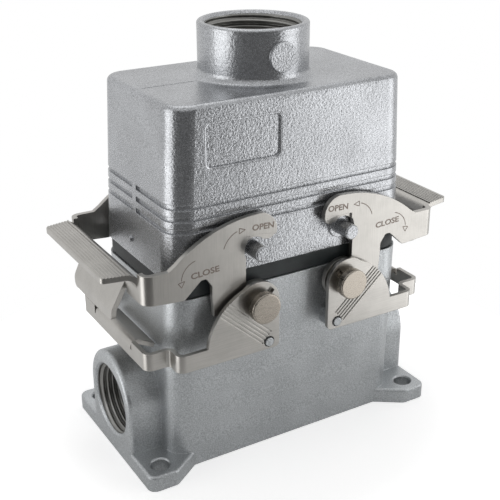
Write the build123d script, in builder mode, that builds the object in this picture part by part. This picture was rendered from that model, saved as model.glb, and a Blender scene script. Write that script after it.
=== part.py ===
"""Heavy duty rectangular connector, size 10: a die-cast hood closed on a surface-mounted base
by two stainless locking levers, with a pair of mated ten-pole screw inserts inside.

Millimetres, +Z up, +X along the long side, front face towards -Y.
The origin is the centre of the base's underside.
"""
from build123d import *
import math
import os

os.makedirs("parts", exist_ok=True)

# Contacts, on whose grid the inserts and the housings are built
contact_columns = 5
contact_pitch = 9.0
contact_rows = 11.0
contact_diameter = 2.5
sleeve_diameter = 3.8
sleeve_depth = 11.0
sleeve_recess = 0.5
contact_end = 3.0
wire_bore_diameter = 2.4
wire_bore_depth = 8.0
pin_reach = 8.0
pin_tip_round = 0.6
terminal_screw_diameter = 3.0
terminal_screw_length = 5.0
terminal_from_end = 4.5

# Inserts: mating blocks, wider bodies behind them, fixing screws beyond their ends
mating_side = 4.0
mating_height = 12.0
body_beyond_mating = 2.5
body_beside_mating = 4.0
insert_body_height = 15.5
insert_corner_radius = 1.0
fixing_beyond_body = 3.5
plate_thickness = 1.5
plate_beyond_fixing = 3.7
plate_beside_fixing = 3.5
plate_corner_radius = 1.5
seat_below_rim = 4.9
mating_gap = 0.5
shroud_clearance = 0.4
shroud_wall = 1.2
shroud_depth = 8.5
shroud_corner_radius = 0.9
fit_gap = 0.1
post_diameter = 6.6
post_rib_width = 3.3

# Side cable entry and its blind twin
entry_half_width = 12.7
entry_arch_height = 17.0
entry_bore_drop = 1.5
entry_bore_diameter = 20.0
entry_mouth_diameter = 21.2
entry_edge_round = 1.2

# Base housing
base_beyond_fixing = 8.35
base_beside_fixing = 6.15
base_above_entry = 21.7
rim_inset = 0.65
rim_flare = 1.85
base_wall = 3.2
base_floor = 3.5
corner_radius = 6.0

# Mounting feet
foot_thickness = 4.5
foot_reach = 9.25
foot_proud = 5.35
foot_flat = 7.9
foot_slant = 7.8
foot_corner_radius = 2.4
foot_edge_round = 0.9
foot_hole_from_end = 4.15
foot_hole_from_side = 0.35
foot_hole_diameter = 5.0
foot_hole_edge = 0.4

# Gasket between the two housings
gasket_height = 4.8
gasket_inset = 0.35
gasket_thickness = 3.0
gasket_bead = 0.5

# Hood
hood_beyond_rim = 0.3
hood_end_draft = 2.2
hood_side_draft = 0.3
hood_height = 44.5
hood_wall = 3.0
hood_top_round = 1.5

# Grooves round the hood
groove_first = 13.4
groove_pitch = 3.1
groove_count = 3
groove_width = 1.3
groove_depth = 0.6
parting_land = 2.0

# Label panel on the hood's front
panel_length = 21.7
panel_height = 11.8
panel_from_centre = 15.3
panel_below_top = 10.4
panel_depth = 0.7
panel_corner_radius = 1.8

# Threaded collar on the hood
collar_diameter = 29.2
collar_height = 13.9
collar_bore_diameter = 25.0
collar_mouth_diameter = 26.4
collar_foot_round = 2.2
collar_edge_round = 0.7
pad_diameter = 7.6
pad_proud = 0.3
pad_below_mouth = 7.0

# Cast dot on the hood's left end
dot_diameter = 1.7
dot_proud = 0.3
dot_from_centre = 2.2
dot_above_rim = 4.4

# Locking pegs on the hood
peg_from_end = 23.15
peg_above_rim = 6.0
peg_diameter = 4.1
peg_length = 6.3
peg_collar_diameter = 6.4
peg_collar_height = 0.6
peg_edge_chamfer = 0.3

# Pivot pins, with the peg straight above each
pivot_below_peg = 14.5
journal_diameter = 6.4
shank_diameter = 5.0
shank_length = 5.0
shank_end_gap = 0.2
pin_neck_diameter = 6.2
pin_neck_length = 1.5
pin_head_diameter = 8.4
pin_head_height = 2.0
pin_head_round = 0.35
running_clearance = 0.05
seat_clearance = 0.02
pad_boss_diameter = 7.4
pad_boss_backing = 1.2

# Lever sheet
lever_thickness = 1.4
lever_clearance = 1.1
lever_pad_gap = 0.3
lever_end_reach = 8.15
lever_bend_radius = 2.6
lever_hub_radius = 5.7
hub_tangent_angle = 68.0
arm_above_pivot = 13.9
arm_height = 7.7
arm_root_run = 10.0
arm_root_drop = 0.8
leg_start = 2.9
leg_width = 9.7
leg_shoulder_rise = 4.3
leg_foot_drop = 1.2
leg_foot_inset = 0.4
window_below_arm = 4.2
window_shoulder = 1.6
window_shoulder_drop = 2.4
window_top_width = 3.1
window_slant = 5.5
window_radius = 0.8

# Hook at the top of each lever
hook_above_peg = 9.5
hook_reach = 6.3
hook_nose_length = 5.9
hook_nose_height = 4.3
hook_tip_radius = 2.2
hook_underside_gap = 0.35
lip_width = 1.6
lip_depth = 0.5
lip_end = 2.4
notch_radius = 3.3
back_middle_run = 11.8
back_middle_drop = 2.4
back_end_run = 8.8
back_end_rise = 1.3
back_foot_run = 6.9

# Lever grip plate
grip_reach = 8.6
grip_inset = 3.4
grip_taper = 1.7
grip_bend_radius = 3.6
grip_rib_count = 8
grip_rib_pitch = 0.85
grip_rib_height = 0.12
grip_rib_width = 0.45

# Lever tab, flared clear of the spring bracket
tab_half_width = 13.0
tab_below_arm = 5.0
tab_knee_drop = 7.8
tab_end_drop = 2.8
tab_offset = 3.9
tab_relief = 0.8
tab_corner_radius = 1.5

# Spring bracket
bracket_thickness = 1.2
bracket_gap = 1.0
bracket_edge_run = 5.9
bracket_below_pivot = 13.8
bracket_top_radius = 6.3
bracket_corner_radius = 1.4
strip_height = 4.8
strip_jog_gap = 0.55
strip_end_reach = 7.15
strip_side_gap = 1.25
strip_bend_radius = 1.6
fan_arc_start = 48.0
fan_foot_run = 15.3
fan_shoulder_run = 11.5
fan_shoulder_drop = 0.3
fan_line_count = 5
fan_line_from_pivot = 4.3
fan_line_length = 17.0
fan_line_angle = 42.0
fan_line_pitch = 0.97
fan_line_width = 0.4
fan_line_depth = 0.2
flap_half_length = 11.5
flap_slope = 28.0
flap_gap = 0.4
slot_width = 1.8
slot_reach = 5.2
slot_angle = 135.0
nib_from_peg = 2.8
nib_above_strip = 2.1
nib_diameter = 2.4
nib_boss_diameter = 5.0
nib_proud = 0.4
nib_clearance = 0.35

# Screws and earth tongues
fixing_screw_diameter = 4.0
fixing_screw_length = 9.0
fixing_head_diameter = 6.5
fixing_head_height = 2.6
driver_slot_width = 0.8
driver_slot_depth = 0.9
earth_screw_beyond_fixing = 1.0
earth_screw_length = 2.7
tongue_beyond_mating = 3.75
tongue_thickness = 1.0
tongue_width = 8.0
tongue_length = 9.0

# Lengths and widths that follow from the sizes above
mating_length = contact_columns * contact_pitch
mating_width = contact_rows + 2 * mating_side
insert_length = mating_length + 2 * body_beyond_mating
insert_width = mating_width + 2 * body_beside_mating
fixing_spacing_x = insert_length + 2 * fixing_beyond_body
fixing_spacing_y = insert_width
plate_end = fixing_spacing_x / 2 + plate_beyond_fixing
plate_width = fixing_spacing_y + 2 * plate_beside_fixing
earth_screw_place = fixing_spacing_x / 2 + earth_screw_beyond_fixing
tongue_place = mating_length / 2 + tongue_beyond_mating
base_length = fixing_spacing_x + 2 * base_beyond_fixing
base_width = fixing_spacing_y + 2 * base_beside_fixing
base_rim_length = base_length - 2 * rim_inset
base_rim_width = base_width + 2 * rim_flare
hood_length = base_rim_length + 2 * hood_beyond_rim
hood_width = base_rim_width
hood_top_length = hood_length - 2 * hood_end_draft
hood_top_width = hood_width - 2 * hood_side_draft
foot_end = base_length / 2 + foot_reach
foot_front = base_width / 2 + foot_proud
foot_hole_spacing_x = base_length + 2 * foot_hole_from_end
foot_hole_spacing_y = base_width + 2 * foot_hole_from_side
lever_end = base_length / 2 + lever_end_reach
strip_end = base_length / 2 + strip_end_reach
strip_jog = base_length / 2 + strip_jog_gap
strip_half_width = base_width / 2 + strip_side_gap
peg_from_centre = base_length / 2 - peg_from_end
nib_from_centre = peg_from_centre - nib_from_peg
hook_tip = peg_from_centre - hook_reach
leg_inner = peg_from_centre + leg_start
leg_outer = leg_inner + leg_width
bracket_inner_edge = peg_from_centre - bracket_edge_run

# Levels that follow from the sizes above
base_height = entry_arch_height + entry_half_width + base_above_entry
entry_bore_height = entry_arch_height - entry_bore_drop
hood_rim = base_height + gasket_height
hood_top = hood_rim + hood_height
collar_top = hood_top + collar_height
peg_height = hood_rim + peg_above_rim
pivot_height = peg_height - pivot_below_peg
lever_top = peg_height + hook_above_peg
arm_top = pivot_height + arm_above_pivot
arm_bottom = arm_top - arm_height
tab_root = arm_top - tab_below_arm
tab_knee = tab_root - tab_knee_drop
tab_bottom = tab_knee - tab_end_drop
wall_front = base_rim_width / 2
peg_reach = wall_front + peg_length
cheek_inner = wall_front + lever_clearance
cheek_outer = cheek_inner + lever_thickness
pad_front = cheek_inner - lever_pad_gap
bracket_inner = cheek_outer + bracket_gap
bracket_outer = bracket_inner + bracket_thickness
grip_half_length = cheek_outer - grip_inset
bracket_bottom = pivot_height - bracket_below_pivot
strip_top = bracket_bottom + strip_height
nib_height = bracket_bottom + nib_above_strip
female_seat = base_height - seat_below_rim
female_bottom = female_seat - insert_body_height
female_plate_top = female_seat + plate_thickness
female_face = female_plate_top + mating_height
male_plate_bottom = female_face + mating_gap
male_seat = male_plate_bottom + plate_thickness
male_top = male_seat + insert_body_height
tolerance = 0.01
sides = {"left": -1, "right": 1}
faces = {"front": -1, "back": 1}


def blend(low, high, share):
    """Size at a share of the way up a tapered wall."""
    return low + (high - low) * share


def save(part, label):
    """Names a finished piece and writes it as one file."""
    part.label = label
    export_step(part, f"parts/{label}.step")


def frustum(length, width, radius, top_length, top_width, low, high):
    """Rounded rectangular block that tapers from its lower to its upper outline."""
    with BuildPart() as block:
        with BuildSketch(Plane.XY.offset(low)):
            RectangleRounded(length, width, radius)
        with BuildSketch(Plane.XY.offset(high)):
            RectangleRounded(top_length, top_width, radius)
        loft()
    return block.part


def corner_posts(low, high, limits):
    """Four posts that carry an insert's fixing screws, each with a rib into the end wall."""
    rib_length = base_length / 2 - fixing_spacing_x / 2
    with BuildPart() as posts:
        with BuildSketch(Plane.XY.offset(low)):
            with GridLocations(fixing_spacing_x, fixing_spacing_y, 2, 2):
                Circle(post_diameter / 2)
            with GridLocations(fixing_spacing_x + rib_length, fixing_spacing_y, 2, 2):
                Rectangle(rib_length, post_rib_width)
        extrude(amount=high - low)
        add(limits, mode=Mode.INTERSECT)
    return posts.part


def fixing_holes(level, depth, downwards):
    """Tapping holes for the fixing screws, as one tool body."""
    with BuildPart() as holes:
        with BuildSketch(Plane.XY.offset(level)):
            with GridLocations(fixing_spacing_x, fixing_spacing_y, 2, 2):
                Circle(fixing_screw_diameter / 2 + seat_clearance)
        extrude(amount=-depth if downwards else depth)
    return holes.part


# Arch round the cable entry on the right, flush with the foot
with BuildPart() as arch:
    with BuildSketch(Plane.YZ.offset(foot_end)):
        with Locations((0, entry_arch_height / 2)):
            Rectangle(2 * entry_half_width, entry_arch_height)
        with Locations((0, entry_arch_height)):
            Circle(entry_half_width)
    extrude(amount=base_length / 2 - base_wall - foot_end)
    arch_edges = arch.faces().sort_by(Axis.X)[-1].edges().filter_by(lambda e: e.center().Z > tolerance)
    fillet(arch_edges, entry_edge_round)

# Base housing
with BuildPart() as base_housing:
    add(frustum(base_length, base_width, corner_radius, base_rim_length, base_rim_width, 0, base_height))
    # Feet with a slanted side that runs back to the wall
    for direction in sides.values():
        with BuildSketch(Plane.XY) as foot:
            with BuildLine():
                foot_flat_end = direction * (foot_end - foot_flat)
                foot_root = direction * (foot_end - foot_flat - foot_slant)
                Polyline((0, (base_wall - base_width) / 2), (foot_root, -base_width / 2),
                         (foot_flat_end, -foot_front), (direction * foot_end, -foot_front),
                         (direction * foot_end, 0), (0, 0), close=True)
            make_face()
            mirror(about=Plane.XZ)
            fillet(foot.vertices().filter_by(lambda v: abs(v.Y) > foot_front - tolerance), foot_corner_radius)
        extrude(amount=foot_thickness)
    foot_edges = base_housing.edges().filter_by(Plane.XY).filter_by(
        lambda e: abs(e.center().Z - foot_thickness) < tolerance and abs(e.center().X) > foot_end - foot_flat)
    fillet(foot_edges, foot_edge_round)
    # Arched cable entry at each end
    add(arch.part)
    mirror(arch.part, about=Plane.YZ)
    # Hollow inside, open at the rim
    add(frustum(base_length - 2 * base_wall, base_width - 2 * base_wall, corner_radius - base_wall,
                base_rim_length - 2 * base_wall, base_rim_width - 2 * base_wall, base_floor, base_height),
        mode=Mode.SUBTRACT)
    within_base = frustum(base_length - base_wall, base_width - base_wall, corner_radius,
                          base_rim_length - base_wall, base_rim_width - base_wall, 0, base_height)
    add(corner_posts(base_floor - base_wall / 2, female_seat, within_base))
    add(fixing_holes(female_seat, fixing_screw_length, True), mode=Mode.SUBTRACT)
    # Entry on the left, bored to the major diameter of its thread
    with BuildSketch(Plane.YZ.offset(-foot_end)):
        with Locations((0, entry_bore_height)):
            Circle(entry_bore_diameter / 2)
    extrude(amount=foot_end - base_length / 2 + 2 * base_wall, mode=Mode.SUBTRACT)
    entry_mouth = base_housing.edges().filter_by(GeomType.CIRCLE).filter_by(
        lambda e: abs(e.center().X + foot_end) < tolerance
        and abs(e.radius - entry_bore_diameter / 2) < tolerance)
    chamfer(entry_mouth, (entry_mouth_diameter - entry_bore_diameter) / 2)
    # Screw holes through the feet
    with Locations((0, 0, foot_thickness)):
        with GridLocations(foot_hole_spacing_x, foot_hole_spacing_y, 2, 2):
            Hole(foot_hole_diameter / 2, depth=foot_thickness)
    hole_rims = base_housing.edges().filter_by(GeomType.CIRCLE).filter_by(
        lambda e: abs(e.center().Z - foot_thickness) < tolerance
        and abs(e.radius - foot_hole_diameter / 2) < tolerance)
    chamfer(hole_rims, foot_hole_edge)
    # Bosses that carry the pivot pins and nibs that locate the spring brackets
    for facing in faces.values():
        with BuildSketch(Plane.XZ.offset(-facing * pad_front)):
            with Locations((-peg_from_centre, pivot_height), (peg_from_centre, pivot_height)):
                Circle(pad_boss_diameter / 2)
        extrude(amount=facing * (shank_length + pad_boss_backing))
        with BuildSketch(Plane.XZ.offset(-facing * bracket_inner)):
            with Locations((-nib_from_centre, nib_height), (nib_from_centre, nib_height)):
                Circle(nib_boss_diameter / 2)
        extrude(amount=facing * (bracket_inner - base_width / 2))
        with BuildSketch(Plane.XZ.offset(-facing * bracket_inner)):
            with Locations((-nib_from_centre, nib_height), (nib_from_centre, nib_height)):
                Circle(nib_diameter / 2)
        extrude(amount=-facing * (bracket_thickness + nib_proud))
        with BuildSketch(Plane.XZ.offset(-facing * pad_front)):
            with Locations((-peg_from_centre, pivot_height), (peg_from_centre, pivot_height)):
                Circle(shank_diameter / 2 + seat_clearance)
        extrude(amount=facing * shank_length, mode=Mode.SUBTRACT)
save(base_housing.part, "base_housing")

# Rubber gasket round the joint
with BuildPart() as rim_gasket:
    with BuildSketch(Plane.XY.offset(base_height)):
        RectangleRounded(base_rim_length - 2 * gasket_inset, base_rim_width - 2 * gasket_inset, corner_radius)
        inner_length = base_rim_length - 2 * gasket_inset - 2 * gasket_thickness
        inner_width = base_rim_width - 2 * gasket_inset - 2 * gasket_thickness
        RectangleRounded(inner_length, inner_width, corner_radius - gasket_thickness, mode=Mode.SUBTRACT)
    extrude(amount=gasket_height)
    outer_edges = rim_gasket.edges().filter_by(Plane.XY).filter_by(
        lambda e: abs(e.center().X) > inner_length / 2 + 1 or abs(e.center().Y) > inner_width / 2 + 1)
    fillet(outer_edges, gasket_bead)
save(rim_gasket.part, "rim_gasket")

# Hood
with BuildPart() as hood_shell:
    add(frustum(hood_length, hood_width, corner_radius, hood_top_length, hood_top_width, hood_rim, hood_top))
    fillet(hood_shell.edges().group_by(Axis.Z)[-1], hood_top_round)
    # Threaded collar for the upper cable entry
    with BuildSketch(Plane.XY.offset(hood_top)):
        Circle(collar_diameter / 2)
    extrude(amount=collar_height)
    collar_rings = hood_shell.edges().filter_by(GeomType.CIRCLE).filter_by(
        lambda e: abs(e.radius - collar_diameter / 2) < tolerance)
    fillet(collar_rings.group_by(Axis.Z)[0], collar_foot_round)
    fillet(hood_shell.edges().group_by(Axis.Z)[-1], collar_edge_round)
    with BuildSketch(Plane.XZ.offset(collar_diameter / 2 + pad_proud)):
        with Locations((0, collar_top - pad_below_mouth)):
            Circle(pad_diameter / 2)
    extrude(amount=-pad_proud - (collar_diameter - collar_bore_diameter) / 4)
    # Cast dot on the left end
    with BuildSketch(Plane.YZ.offset(-hood_length / 2 - dot_proud)):
        with Locations((dot_from_centre, hood_rim + dot_above_rim)):
            Circle(dot_diameter / 2)
    extrude(amount=dot_proud + hood_wall / 2)
    # Grooves, broken at the parting line on both ends
    for level in range(groove_count):
        groove_height = hood_rim + groove_first + level * groove_pitch
        share = (groove_height - hood_rim) / hood_height
        length_here = blend(hood_length, hood_top_length, share) - 2 * groove_depth
        width_here = blend(hood_width, hood_top_width, share) - 2 * groove_depth
        with BuildSketch(Plane.XY.offset(groove_height - groove_width / 2)):
            Rectangle(hood_length + corner_radius, hood_width + corner_radius)
            Rectangle(hood_length + corner_radius, parting_land, mode=Mode.SUBTRACT)
            RectangleRounded(length_here, width_here, corner_radius - groove_depth, mode=Mode.SUBTRACT)
        extrude(amount=groove_width, mode=Mode.SUBTRACT)
    # Sunk label panel, left bare
    with BuildSketch(Plane.XZ.offset(hood_width / 2 - panel_depth)):
        with Locations((-panel_from_centre, hood_top - panel_below_top)):
            RectangleRounded(panel_length, panel_height, panel_corner_radius)
    extrude(amount=hood_wall, mode=Mode.SUBTRACT)
    # Hollow inside, open at the rim, with posts for the insert
    roof = hood_top - hood_wall
    roof_share = (roof - hood_rim) / hood_height
    add(frustum(hood_length - 2 * hood_wall, hood_width - 2 * hood_wall, corner_radius - hood_wall,
                blend(hood_length, hood_top_length, roof_share) - 2 * hood_wall,
                blend(hood_width, hood_top_width, roof_share) - 2 * hood_wall, hood_rim, roof),
        mode=Mode.SUBTRACT)
    within_hood = frustum(hood_length - hood_wall, hood_width - hood_wall, corner_radius,
                          hood_top_length - hood_wall, hood_top_width - hood_wall, hood_rim, hood_top)
    add(corner_posts(male_seat, roof + hood_wall / 2, within_hood))
    add(fixing_holes(male_seat, fixing_screw_length, False), mode=Mode.SUBTRACT)
    # Collar, bored to the major diameter of its thread
    with BuildSketch(Plane.XY.offset(collar_top)):
        Circle(collar_bore_diameter / 2)
    extrude(amount=roof - collar_top - hood_wall, mode=Mode.SUBTRACT)
    collar_mouth = hood_shell.edges().filter_by(GeomType.CIRCLE).filter_by(
        lambda e: abs(e.radius - collar_bore_diameter / 2) < tolerance).group_by(Axis.Z)[-1]
    chamfer(collar_mouth, (collar_mouth_diameter - collar_bore_diameter) / 2)
    # Locking pegs, cast on the long sides
    for facing in faces.values():
        with BuildSketch(Plane.XZ.offset(-facing * peg_reach)):
            with Locations((-peg_from_centre, peg_height), (peg_from_centre, peg_height)):
                Circle(peg_diameter / 2)
        extrude(amount=facing * (peg_reach - hood_width / 2 + hood_wall / 2))
        with BuildSketch(Plane.XZ.offset(-facing * (hood_width / 2 + peg_collar_height))):
            with Locations((-peg_from_centre, peg_height), (peg_from_centre, peg_height)):
                Circle(peg_collar_diameter / 2)
        extrude(amount=facing * (peg_collar_height + hood_wall / 2))
        rims = hood_shell.edges().filter_by(GeomType.CIRCLE).filter_by(
            lambda e: abs(e.center().Y - facing * peg_reach) < tolerance)
        chamfer(rims, peg_edge_chamfer)
save(hood_shell.part, "hood_shell")

# Levers: a bent strip cut to its side view, with the grip plate and the tab bent out of its end wall
hook_underside = pivot_below_peg + peg_diameter / 2 + hook_underside_gap
end_centre = lever_end - lever_thickness / 2
cheek_centre = cheek_inner + lever_thickness / 2
hub = (peg_from_centre, pivot_height)
hub_tangent = math.radians(hub_tangent_angle)

grip_level = arm_top - lever_thickness / 2
grip_root = grip_level - grip_bend_radius
grip_outer_half_length = grip_half_length - grip_taper

with BuildPart() as grip:
    with BuildSketch(Plane.XZ.offset(-grip_half_length)):
        with BuildLine():
            FilletPolyline((end_centre, grip_root - lever_thickness), (end_centre, grip_level),
                           (lever_end + grip_reach, grip_level), radius=grip_bend_radius)
        trace(line_width=lever_thickness)
        # Ribs pressed along the plate
        for rib in range(grip_rib_count):
            with Locations((lever_end + grip_reach - (rib + 1) * grip_rib_pitch, arm_top)):
                Rectangle(grip_rib_width, 2 * grip_rib_height)
    extrude(amount=2 * grip_half_length)
    with BuildSketch(Plane.XY.offset(arm_bottom)) as grip_plan:
        outer_end = lever_end + grip_reach
        Polygon((lever_end - lever_thickness, grip_half_length), (lever_end, grip_half_length),
                (outer_end, grip_outer_half_length), (outer_end, -grip_outer_half_length),
                (lever_end, -grip_half_length), (lever_end - lever_thickness, -grip_half_length), align=None)
        fillet(grip_plan.vertices().group_by(Axis.X)[-1], lever_bend_radius / 2)
    extrude(amount=2 * (arm_top - arm_bottom), mode=Mode.INTERSECT)

with BuildPart() as tab:
    with BuildSketch(Plane.XZ.offset(-tab_half_width - tab_relief)):
        with BuildLine():
            FilletPolyline((end_centre, tab_root + lever_thickness), (end_centre, tab_root),
                           (end_centre + tab_offset, tab_knee), (end_centre + tab_offset, tab_bottom),
                           radius=2 * lever_thickness)
        trace(line_width=lever_thickness)
    extrude(amount=2 * (tab_half_width + tab_relief))
    with BuildSketch(Plane.YZ.offset(lever_end - 2 * lever_thickness)) as tab_front:
        tab_end_half = tab_half_width - tab_relief
        Polygon((-tab_half_width, tab_root + lever_thickness), (tab_half_width, tab_root + lever_thickness),
                (tab_end_half, tab_bottom), (-tab_end_half, tab_bottom), align=None)
        fillet(tab_front.vertices().group_by(Axis.Y)[0], tab_corner_radius)
    extrude(amount=tab_offset + 3 * lever_thickness, mode=Mode.INTERSECT)

with BuildPart() as lever_right:
    with BuildSketch(Plane.XY.offset(pivot_height - 2 * lever_hub_radius)):
        with BuildLine():
            FilletPolyline((0, -cheek_centre), (end_centre, -cheek_centre), (end_centre, cheek_centre),
                           (0, cheek_centre), radius=lever_bend_radius - lever_thickness / 2)
        trace(line_width=lever_thickness)
    extrude(amount=lever_top - pivot_height + 3 * lever_hub_radius)
    with BuildSketch(Plane.XZ.offset(cheek_outer + 1)) as side:
        with BuildLine():
            corner = 1 - math.sqrt(0.5)
            nose_middle = (hook_tip + corner * hook_nose_length, lever_top - corner * hook_nose_height)
            crown = ThreePointArc((hook_tip, lever_top - hook_nose_height), nose_middle,
                                  (hook_tip + hook_nose_length, lever_top))
            back = ThreePointArc(crown @ 1, (peg_from_centre + back_middle_run, lever_top - back_middle_drop),
                                 (lever_end - back_end_run, arm_top + back_end_rise))
            lower_edge = arm_bottom - arm_root_drop
            Polyline(back @ 1, (lever_end - back_foot_run, arm_top), (lever_end, arm_top),
                     (lever_end, arm_bottom), (lever_end - arm_root_run, lower_edge),
                     (hook_tip, lower_edge), crown @ 0)
        make_face()
        # Underside of the hook, swept about the pivot so that it clears the peg
        with Locations(hub):
            Circle(hook_underside, mode=Mode.SUBTRACT)
        # Window between the leg and the arm
        window_top = arm_top - window_below_arm
        window_bottom = arm_bottom - 2 * arm_root_drop
        window_end = leg_outer + window_top_width
        Polygon((leg_outer, window_bottom), (leg_outer, window_top), (window_end, window_top),
                (window_end + window_slant, window_bottom), align=None, mode=Mode.SUBTRACT)
        # Leg, drawn down to the hub
        tangent_point = (hub[0] + lever_hub_radius * math.cos(hub_tangent),
                         hub[1] - lever_hub_radius * math.sin(hub_tangent))
        shoulder_end = leg_outer + window_shoulder
        Polygon(hub, (leg_inner, pivot_height), (leg_inner, peg_height + notch_radius),
                (shoulder_end, peg_height + notch_radius), (shoulder_end, window_top),
                (leg_outer, window_top - window_shoulder_drop), (leg_outer, pivot_height + leg_shoulder_rise),
                (leg_outer - leg_foot_inset, pivot_height - leg_foot_drop), tangent_point, align=None)
        with Locations(hub):
            Circle(lever_hub_radius)
        with Locations((peg_from_centre, peg_height)):
            Circle(notch_radius, mode=Mode.SUBTRACT)
        with Locations(hub):
            Circle(journal_diameter / 2 + running_clearance, mode=Mode.SUBTRACT)
        tip_corner = side.vertices().group_by(Axis.X)[0].sort_by(Axis.Y)[0]
        fillet(tip_corner, hook_tip_radius)
        window_corners = side.vertices().filter_by(
            lambda v: abs(v.Y - window_top) < tolerance
            or abs(v.X - leg_outer) + abs(v.Y - window_top + window_shoulder_drop) < tolerance)
        fillet(window_corners, window_radius)
    extrude(amount=-2 * (cheek_outer + 1), mode=Mode.INTERSECT)
    # Lip along the hook's underside, coined thinner from outside
    for facing in faces.values():
        with BuildSketch(Plane.XZ.offset(-facing * cheek_outer)):
            with Locations(hub):
                Circle(hook_underside + lip_width)
            with Locations((peg_from_centre + lip_end, peg_height)):
                Rectangle(2 * hook_above_peg, hook_above_peg, align=(Align.MAX, Align.MIN),
                          mode=Mode.INTERSECT)
        extrude(amount=facing * lip_depth, mode=Mode.SUBTRACT)
    # The end wall's middle is cut free, bent out as the grip at the top and as the tab below it
    with Locations((end_centre, 0, grip_root)):
        Box(3 * lever_thickness, 2 * grip_half_length, 2 * arm_height,
            align=(Align.CENTER, Align.CENTER, Align.MIN), mode=Mode.SUBTRACT)
    with Locations((end_centre, 0, tab_root)):
        Box(3 * lever_thickness, 2 * (tab_half_width + tab_relief), 2 * arm_height,
            align=(Align.CENTER, Align.CENTER, Align.MAX), mode=Mode.SUBTRACT)
    add(grip.part)
    add(tab.part)
save(lever_right.part, "lever_right")

with BuildPart() as lever_left:
    mirror(lever_right.part, about=Plane.YZ)
save(lever_left.part, "lever_left")

# Spring brackets: a bent strip with fan plates at the pins, a jog in each arm and a sprung flap
bar_centre = strip_end - bracket_thickness / 2
fan_centre = (bracket_inner_edge + bracket_top_radius, pivot_height)
flap_bend = 2 * bracket_thickness
flap_run = bar_centre - base_length / 2 - flap_gap

with BuildPart() as bracket_right:
    with BuildSketch(Plane.XY.offset(bracket_bottom - 1)):
        with BuildLine():
            fan_y = bracket_inner + bracket_thickness / 2
            jog_x = strip_jog - bracket_thickness / 2
            arm_y = strip_half_width - bracket_thickness / 2
            FilletPolyline((0, -fan_y), (jog_x, -fan_y), (jog_x, -arm_y), (bar_centre, -arm_y),
                           (bar_centre, arm_y), (jog_x, arm_y), (jog_x, fan_y), (0, fan_y),
                           radius=strip_bend_radius)
        trace(line_width=bracket_thickness)
    extrude(amount=pivot_height + 2 * bracket_top_radius - bracket_bottom)
    with BuildSketch(Plane.XZ.offset(bracket_outer + 1)) as fan:
        with BuildLine():
            top = CenterArc(fan_centre, bracket_top_radius, fan_arc_start, 180 - fan_arc_start)
            fan_foot = peg_from_centre + fan_foot_run
            fan_shoulder = (peg_from_centre + fan_shoulder_run, pivot_height - fan_shoulder_drop)
            ThreePointArc((fan_foot, strip_top), fan_shoulder, top @ 0)
            Polyline(top @ 1, (bracket_inner_edge, bracket_bottom), (strip_end + 1, bracket_bottom),
                     (strip_end + 1, strip_top), (fan_foot, strip_top))
        make_face()
        with Locations(hub):
            Circle(shank_diameter / 2 + seat_clearance, mode=Mode.SUBTRACT)
        with Locations((hub[0] + slot_reach / 2 * math.cos(math.radians(slot_angle)),
                        hub[1] + slot_reach / 2 * math.sin(math.radians(slot_angle)))):
            Rectangle(slot_reach, slot_width, rotation=slot_angle, mode=Mode.SUBTRACT)
        with Locations((nib_from_centre, nib_height)):
            Circle(nib_diameter / 2 + nib_clearance, mode=Mode.SUBTRACT)
        lower_corner = fan.vertices().sort_by_distance((bracket_inner_edge, bracket_bottom))[0]
        fillet(lower_corner, bracket_corner_radius)
    extrude(amount=-2 * (bracket_outer + 1), mode=Mode.INTERSECT)
    # Lines pressed across the fan plates, outside the pin and down to the nib
    for facing in faces.values():
        with BuildSketch(Plane.XZ.offset(-facing * bracket_outer)):
            for line in range(fan_line_count):
                away = fan_line_from_pivot + line * fan_line_pitch
                across = away * math.sin(math.radians(fan_line_angle))
                down = away * math.cos(math.radians(fan_line_angle))
                with Locations((peg_from_centre + across, pivot_height - down)):
                    Rectangle(fan_line_length, fan_line_width, rotation=fan_line_angle)
        extrude(amount=facing * fan_line_depth, mode=Mode.SUBTRACT)
    # The bar's middle is cut free along its top and folded in towards the housing
    with Locations((bar_centre, 0, strip_top - flap_bend)):
        Box(3 * bracket_thickness, 2 * flap_half_length + bracket_thickness, flap_bend + 1,
            align=(Align.CENTER, Align.CENTER, Align.MIN), mode=Mode.SUBTRACT)
    with BuildSketch(Plane.XZ.offset(-flap_half_length)):
        with BuildLine():
            flap_fall = flap_run * math.tan(math.radians(flap_slope))
            FilletPolyline((bar_centre, strip_top - 1.5 * flap_bend), (bar_centre, strip_top),
                           (bar_centre - flap_run, strip_top - flap_fall), radius=bracket_thickness)
        trace(line_width=bracket_thickness)
    extrude(amount=2 * flap_half_length)
save(bracket_right.part, "bracket_right")

with BuildPart() as bracket_left:
    mirror(bracket_right.part, about=Plane.YZ)
save(bracket_left.part, "bracket_left")

# Pivot pins: shank in the housing, journal for the lever, neck outside the bracket, round head
head_back = bracket_outer + pin_neck_length

for facing_name, facing in faces.items():
    for side_name, direction in sides.items():
        with BuildPart() as pin:
            steps = [(shank_diameter, pad_front - shank_length + shank_end_gap, pad_front),
                     (journal_diameter, pad_front, bracket_inner),
                     (shank_diameter, bracket_inner, bracket_outer),
                     (pin_neck_diameter, bracket_outer, head_back),
                     (pin_head_diameter, head_back, head_back + pin_head_height)]
            for diameter, near, far in steps:
                with BuildSketch(Plane.XZ.offset(-facing * near)):
                    with Locations((direction * peg_from_centre, pivot_height)):
                        Circle(diameter / 2)
                extrude(amount=-facing * (far - near))
            head_rim = pin.edges().group_by(Axis.Y)[-1 if facing > 0 else 0]
            fillet(head_rim, pin_head_round)
        save(pin.part, f"pivot_pin_{facing_name}_{side_name}")

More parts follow.
